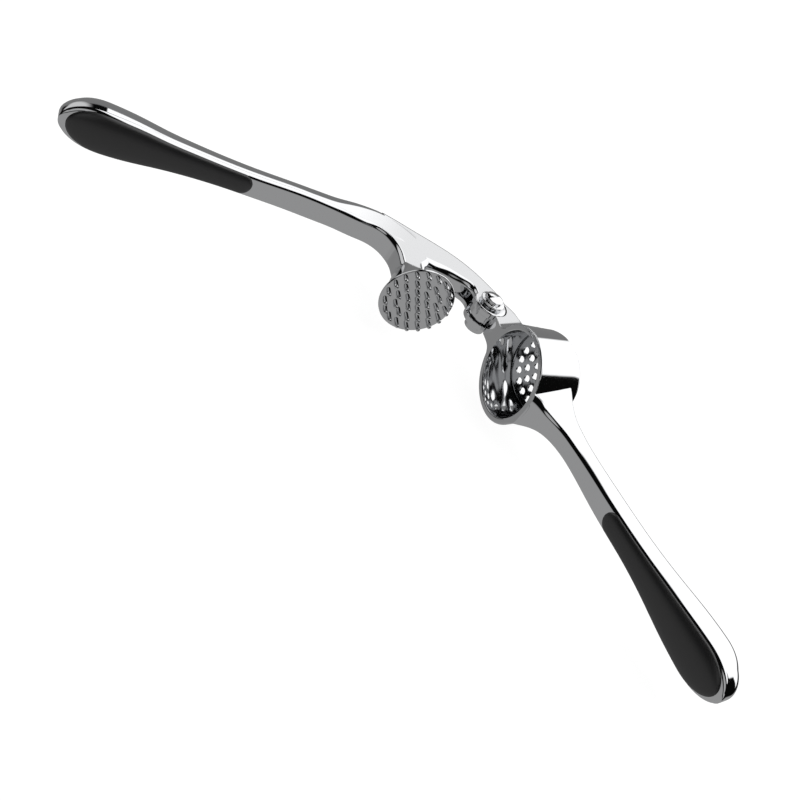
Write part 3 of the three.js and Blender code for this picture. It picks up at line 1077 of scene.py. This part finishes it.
@dataclass(frozen=True)
class PressSide:
    """The press lever with its plate and grip, drawn as it lies when the press is shut."""

    finishes: Finishes
    axis_x: float = 31.3
    bar: Bar = Bar(PRESS_ROWS, stations=230, nose=15.5, back_stretch=1.85, back_reach=0.76)
    arm: Bar = Bar(ARM_ROWS, stations=70)
    knuckle: float = 6.7
    half: float = 4.6
    slot_half: float = 2.2
    slot_floor: float = -9.6
    pivot_hole: float = 2.8
    bore_reach: float = 9.0
    slot_reach: float = 14.0
    foot_corners: int = 8
    plate_front: float = 7.95
    plate_thickness: float = 0.9
    plate_radius: float = 13.85
    pin_root: float = 0.9
    pin_tip: float = 0.83
    pin_length: float = 2.4
    pin_rounding: float = 0.78
    pin_lead: float = 6.4
    pin_steps: int = 20

    def foot(self) -> bmesh.types.BMesh:
        """Make the flat-sided pyramid between the leg and the plate.

        Returns:
            The closed solid.
        """
        back = self.plate_front - self.plate_thickness - 0.02
        spread = self.plate_radius - 0.9
        bm = bmesh.new()
        for z in (-self.half, self.half):
            bm.verts.new((36.3, -7.2, z))
            bm.verts.new((27.6, -5.6, z))
        bm.verts.new((37.4, -8.2, 0.0))
        for i in range(self.foot_corners):
            angle = math.tau * (i + 0.5) / self.foot_corners
            x = self.axis_x + spread * math.cos(angle)
            z = spread * math.sin(angle)
            bm.verts.new((x, back, z))
            bm.verts.new((x, back - 0.5, z))
        bmesh.ops.convex_hull(bm, input=bm.verts[:])
        bmesh.ops.dissolve_limit(
            bm, angle_limit=math.radians(1.0), verts=bm.verts[:], edges=bm.edges[:]
        )
        bmesh.ops.recalc_face_normals(bm, faces=bm.faces[:])
        bevel_all(bm, 0.25, 3, math.radians(8))
        return bm

    def lever(self) -> bpy.types.Object:
        """Build the whole casting.

        Returns:
            The finished piece.
        """
        piece = to_object(self.bar.build(), "press_lever_surface")
        work(piece, self.arm.build(), Join.ADD)
        work(piece, drum(self.knuckle, self.half, 128, edge=0.6), Join.ADD)
        work(piece, self.foot(), Join.ADD)
        slot_low = (-self.slot_reach, self.slot_floor, -self.slot_half)
        slot_high = (self.slot_reach, self.slot_reach, self.slot_half)
        work(piece, brick(slot_low, slot_high), Join.CUT)
        work(piece, drum(self.pivot_hole, self.bore_reach, 48), Join.CUT)
        pad = self.pad()
        work(piece, pad.build(pad.gap, pad.depth + pad.gap, pad.crown), Join.CUT)
        return finish_piece(piece, Body.PRESS, self.finishes.chrome, "press_lever")

    def pad(self) -> GripPad:
        """The grip's shape."""
        return GripPad(self.bar, side=-1.0)

    def grip(self) -> bpy.types.Object:
        """Build the soft grip.

        Returns:
            The finished piece.
        """
        pad = self.pad()
        piece = to_object(pad.build(0.0, pad.depth, pad.crown), "press_grip")
        return finish_piece(
            piece, Body.PRESS, self.finishes.rubber, "press_grip_pad"
        )

    def plate(self) -> bpy.types.Object:
        """Build the round plate and its pins.

        Returns:
            The finished piece.
        """
        back = self.plate_front - self.plate_thickness
        rows = [
            (0.0, back),
            (self.plate_radius, back, 0.2),
            (self.plate_radius, self.plate_front, 0.3),
            (0.0, self.plate_front),
        ]
        bm = turned(rounded(rows), 160, self.axis_x)
        for x, z in PinPattern().places():
            self.add_pin(bm, self.axis_x + x, z)
        piece = to_object(bm, "press_plate")
        return finish_piece(piece, Body.PRESS, self.finishes.chrome, "press_plate")

    def add_pin(self, bm: bmesh.types.BMesh, x: float, z: float) -> None:
        """Add one tapered pin with a rounded tip.

        A pin stands a little nearer to the hinge than its hole's middle, because it comes into the
        hole on an arc.

        Args:
            bm: the plate's mesh.
            x: the hole's place along X.
            z: the hole's place along Z.
        """
        lead = self.pin_lead / x
        pin = bmesh.new()
        sunk = -0.3
        tip = (self.pin_tip, self.pin_length, self.pin_rounding)
        outline = [(self.pin_root, 0.0), tip, (0.0, self.pin_length)]
        profile = [(0.0, sunk), (self.pin_root, sunk), (self.pin_root, 0.05)]
        profile += rounded(outline, 4)[1:]
        spin_profile(pin, profile, self.pin_steps)
        spot = (x - lead, self.plate_front, z)
        pin.transform(Matrix.Translation(spot) @ Matrix.Rotation(-math.pi / 2, 4, "X"))
        mesh = bpy.data.meshes.new("pin")
        pin.to_mesh(mesh)
        pin.free()
        bm.from_mesh(mesh)
        bpy.data.meshes.remove(mesh)

    def build(self) -> None:
        """Build every piece of this side."""
        self.lever()
        self.plate()
        self.grip()


# ---- the pivot -----------------------------------------------------------------------------------


@dataclass(frozen=True)
class Pivot:
    """The domed bolt, its collar, its washer and its closed nut."""

    finishes: Finishes
    shank: float = 2.5
    collar_low: float = 4.75
    collar_high: float = 5.5
    collar_radius: float = 3.6
    head_radius: float = 4.9
    head_top: float = 8.4
    dome_radius: float = 3.4
    dome_drop: float = 0.85
    step_radius: float = 3.6
    shank_end: float = -7.0
    washer_low: float = -5.45
    washer_high: float = -4.75
    washer_radius: float = 4.6
    nut_floor: float = -7.3
    nut_radius: float = 4.1
    clearance: float = 0.3
    gap: float = 0.05
    dome_steps: int = 10
    steps: int = 96

    def bolt(self) -> bmesh.types.BMesh:
        """Make the bolt with its stepped, domed head.

        Returns:
            The solid as a new mesh.
        """
        under = self.collar_high + self.gap
        shares = [i / self.dome_steps for i in range(self.dome_steps)]
        dome = [(self.dome_radius * t, self.head_top - self.dome_drop * t**2) for t in shares]
        rows = [
            *dome,
            (self.step_radius, self.head_top - 0.95, 0.3),
            (self.step_radius, under + 0.75, 0.2),
            (self.head_radius, under + 0.7, 0.3),
            (self.head_radius, under, 0.2),
            (self.shank, under),
            (self.shank, self.shank_end),
            (0.0, self.shank_end),
        ]
        return turned(rounded(rows), self.steps)

    def collar(self) -> bmesh.types.BMesh:
        """The collar under the head."""
        return self.ring(self.collar_radius, self.collar_low, self.collar_high)

    def washer(self) -> bmesh.types.BMesh:
        """The thin washer on the nut's side."""
        return self.ring(self.washer_radius, self.washer_low, self.washer_high)

    def ring(self, radius: float, low: float, high: float) -> bmesh.types.BMesh:
        """Make a flat ring round the shank.

        Args:
            radius: its outer radius.
            low: the height of its lower face.
            high: the height of its upper face.

        Returns:
            The solid as a new mesh.
        """
        hole = self.shank + self.clearance
        rows = [(hole, low), (radius, low, 0.15), (radius, high, 0.15), (hole, high)]
        return turned(rounded(rows, 3), self.steps)

    def nut(self) -> bmesh.types.BMesh:
        """Make the round nut, closed and flat at its end.

        Returns:
            The solid as a new mesh.
        """
        top = self.washer_low - self.gap
        hole = self.shank + self.clearance
        rows = [
            (0.0, self.nut_floor),
            (hole, self.nut_floor),
            (hole, top),
            (self.nut_radius, top, 0.2),
            (self.nut_radius, -PIVOT_END, 0.5),
            (0.0, -PIVOT_END),
        ]
        return turned(rounded(rows), self.steps)

    def build(self) -> None:
        """Build every piece of the pivot."""
        chrome, steel = self.finishes.chrome, self.finishes.steel
        for node, solid, slot, finish in (
            ("pivot_bolt", self.bolt(), "cast_chrome", chrome),
            ("pivot_collar", self.collar(), "cast_chrome", chrome),
            ("pivot_washer", self.washer(), "sieve_steel", steel),
            ("pivot_nut", self.nut(), "cast_chrome", chrome),
        ):
            finish_piece(to_object(solid, node), Body.HOPPER, finish, node)


# ---- the studio ----------------------------------------------------------------------------------


@dataclass(frozen=True)
class NodeSums:
    """Short ways to do sums with shader nodes."""

    tree: bpy.types.NodeTree

    def math(self, operation: str, a: NodeInput, b: NodeInput) -> bpy.types.NodeSocket:
        """Add one Math node.

        Args:
            operation: what the node does.
            a: its first socket or number.
            b: its second socket or number.

        Returns:
            The result.
        """
        node = self.tree.nodes.new("ShaderNodeMath")
        node.operation = operation
        for socket, value in zip(node.inputs, (a, b)):
            if isinstance(value, float):
                socket.default_value = value
            else:
                self.tree.links.new(value, socket)
        return node.outputs["Value"]

    def ramp(self, value: NodeInput, start: float, end: float) -> bpy.types.NodeSocket:
        """Make a mask with smooth ends.

        Args:
            value: the number that it follows.
            start: the value at which it is 0.
            end: the value at which it is 1.

        Returns:
            The mask.
        """
        node = self.tree.nodes.new("ShaderNodeMapRange")
        node.interpolation_type = "SMOOTHSTEP"
        node.inputs["From Min"].default_value = start
        node.inputs["From Max"].default_value = end
        self.tree.links.new(value, node.inputs["Value"])
        return node.outputs["Result"]

    def scale(self, mask: NodeInput, at_one: float, at_zero: float) -> bpy.types.NodeSocket:
        """A number that follows a 0..1 mask."""
        part = self.math("MULTIPLY", mask, at_one - at_zero)
        return self.math("ADD", part, at_zero)

    def blend_of(
        self, a: NodeInput, a_times: float, b: NodeInput, b_times: float
    ) -> bpy.types.NodeSocket:
        """The sum of two values, each times a number."""
        first = self.math("MULTIPLY", a, a_times)
        return self.math("ADD", first, self.math("MULTIPLY", b, b_times))

    def product(self, first: NodeInput, *others: NodeInput) -> bpy.types.NodeSocket:
        """Multiply everything together.

        Args:
            first: the first mask.
            others: all the others.

        Returns:
            The product.
        """
        for other in others:
            first = self.math("MULTIPLY", first, other)
        return first


@dataclass(frozen=True)
class Studio:
    """Camera, floor and light.

    The room is drawn in the world by direction, with a strength for each of its areas.
    """

    spot: Row = (204.33, -289.40, 191.89)
    ahead: Row = (-0.4836, 0.6623, -0.5723)
    top: Row = (-0.7539, 0.0170, 0.6568)
    lens: float = 48.0
    floor_z: float = -18.0
    floor_radius: float = 6.0
    floor_glow: float = 0.94
    floor_grey: float = 0.25
    wall_glow: float = 1.7
    pale_glow: float = 1.3
    corner_glow: float = 0.27
    ground_left: float = 0.33
    ground_right: float = 0.45
    aside_glow: float = 0.42
    front_box: float = 0.55
    back_box: float = 0.9
    box_rise: float = 0.423
    room: float = 0.004

    def camera(self) -> None:
        """Make the camera."""
        data = bpy.data.cameras.new("camera")
        data.lens = self.lens
        data.sensor_width = 36.0
        data.clip_start = 0.01
        data.clip_end = 50.0
        made = bpy.data.objects.new("camera", data)
        bpy.context.scene.collection.objects.link(made)
        back = -Vector(self.ahead).normalized()
        right = Vector(self.top).cross(back).normalized()
        up = back.cross(right)
        turn = Matrix((right, up, back)).transposed().to_4x4()
        made.matrix_world = Matrix.Translation(LIFT @ Vector(self.spot)) @ turn
        bpy.context.scene.camera = made

    def floor(self) -> None:
        """Make the pale floor."""
        bm = bmesh.new()
        bmesh.ops.create_circle(bm, cap_ends=True, segments=64, radius=self.floor_radius)
        bm.transform(Matrix.Translation((0.0, 0.0, (self.floor_z + PIVOT_END - 0.05) * MM)))
        ground = to_object(bm, "floor")
        material = bpy.data.materials.new("floor")
        material.use_nodes = True
        nodes, links = material.node_tree.nodes, material.node_tree.links
        nodes.clear()
        out = nodes.new("ShaderNodeOutputMaterial")
        glow = nodes.new("ShaderNodeEmission")
        glow.inputs["Strength"].default_value = self.floor_glow
        matt = nodes.new("ShaderNodeBsdfDiffuse")
        matt.inputs["Color"].default_value = (*[self.floor_grey] * 3, 1.0)
        both = nodes.new("ShaderNodeAddShader")
        links.new(glow.outputs["Emission"], both.inputs[0])
        links.new(matt.outputs["BSDF"], both.inputs[1])
        links.new(both.outputs["Shader"], out.inputs["Surface"])
        ground.visible_glossy = False
        ground.visible_diffuse = False
        ground.data.materials.append(material)

    def wall_light(
        self,
        sums: NodeSums,
        x: bpy.types.NodeSocket,
        y: bpy.types.NodeSocket,
        z: bpy.types.NodeSocket,
    ) -> bpy.types.NodeSocket:
        """Light the white wall and ceiling behind the press, and the grey corner on the left.

        Args:
            sums: the world's sums.
            x: the direction's x.
            y: the direction's y.
            z: the direction's z.

        Returns:
            The strength of this light.
        """
        behind = sums.ramp(y, 0.0, 0.06)
        right = sums.ramp(sums.blend_of(x, -1.0, y, 0.5), 0.0, 0.04)
        left = sums.ramp(sums.blend_of(x, 1.0, y, 1.88), 0.0, 0.04)
        below_ceiling = sums.ramp(z, 0.76, 0.7)
        above_skirting = sums.ramp(z, -0.12, -0.02)
        wall = sums.product(behind, right, left, below_ceiling, above_skirting)
        ceiling = sums.product(behind, sums.ramp(z, 0.66, 0.7), sums.ramp(x, -0.46, -0.4))
        white = sums.math("MAXIMUM", wall, ceiling)
        far_left = sums.ramp(sums.blend_of(x, -1.0, y, -0.6), -0.03, 0.03)
        pale_edge = sums.ramp(sums.blend_of(x, -1.0, y, -0.95), 0.05, -0.05)
        pale = sums.product(far_left, pale_edge, sums.ramp(z, 0.7, 0.56))
        white = sums.product(white, sums.scale(pale, self.pale_glow, self.wall_glow))
        corner = sums.product(far_left, sums.ramp(z, 0.44, 0.39), sums.ramp(z, -0.6, -0.5))
        corner = sums.product(corner, sums.ramp(y, -0.15, -0.05))
        bright = sums.math("MULTIPLY", white, sums.scale(corner, 0.0, 1.0))
        return sums.math("MAXIMUM", bright, sums.scale(corner, self.corner_glow, 0.0))

    def low_light(
        self,
        sums: NodeSums,
        x: bpy.types.NodeSocket,
        y: bpy.types.NodeSocket,
        z: bpy.types.NodeSocket,
    ) -> bpy.types.NodeSocket:
        """Light the grey ground, a strip to the right, and one soft box in front and one behind.

        Args:
            sums: the world's sums.
            x: the direction's x.
            y: the direction's y.
            z: the direction's z.

        Returns:
            The strength of this light.
        """
        tone = sums.scale(sums.ramp(x, -0.8, -0.45), self.ground_right, self.ground_left)
        light = sums.product(sums.ramp(z, -0.3, -0.38), tone)
        to_right = sums.ramp(sums.blend_of(x, 1.0, y, -1.4), 0.0, 0.1)
        aside = sums.product(to_right, sums.ramp(z, -0.12, -0.3))
        light = sums.math("MAXIMUM", light, sums.scale(aside, self.aside_glow, 0.0))
        for along, glow in (
            (sums.blend_of(x, 0.52, y, -0.742), self.front_box),
            (sums.blend_of(x, -0.875, y, -0.235), self.back_box),
        ):
            box = sums.ramp(sums.blend_of(along, 1.0, z, self.box_rise), 0.88, 0.95)
            light = sums.math("MAXIMUM", light, sums.scale(box, glow, 0.0))
        return light

    def world(self) -> None:
        """Make the world: the room's light for the press, and plain white for the camera."""
        world = bpy.data.worlds.new("studio")
        bpy.context.scene.world = world
        world.use_nodes = True
        nodes, links = world.node_tree.nodes, world.node_tree.links
        nodes.clear()
        sums = NodeSums(world.node_tree)
        coords = nodes.new("ShaderNodeTexCoord")
        split = nodes.new("ShaderNodeSeparateXYZ")
        links.new(coords.outputs["Generated"], split.inputs["Vector"])
        x, y, z = (split.outputs[axis] for axis in "XYZ")
        white = self.wall_light(sums, x, y, z)
        low = self.low_light(sums, x, y, z)
        level = sums.math("MAXIMUM", sums.math("MAXIMUM", white, low), self.room)
        studio = nodes.new("ShaderNodeBackground")
        links.new(level, studio.inputs["Strength"])
        plain = nodes.new("ShaderNodeBackground")
        plain.inputs["Strength"].default_value = 1.0
        path = nodes.new("ShaderNodeLightPath")
        mix = nodes.new("ShaderNodeMixShader")
        out = nodes.new("ShaderNodeOutputWorld")
        links.new(path.outputs["Is Camera Ray"], mix.inputs["Fac"])
        links.new(studio.outputs["Background"], mix.inputs[1])
        links.new(plain.outputs["Background"], mix.inputs[2])
        links.new(mix.outputs["Shader"], out.inputs["Surface"])

    def build(self) -> None:
        """Set the whole studio."""
        self.camera()
        self.floor()
        self.world()
        bpy.context.scene.view_settings.view_transform = "Standard"


def main() -> None:
    """Build the press and its studio."""
    logging.basicConfig(level=logging.INFO, format="%(name)s: %(message)s")
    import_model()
    Studio().build()
    finishes = Finishes.build()
    HopperSide(finishes).build()
    PressSide(finishes).build()
    Pivot(finishes).build()


if __name__ == "__main__":
    main()
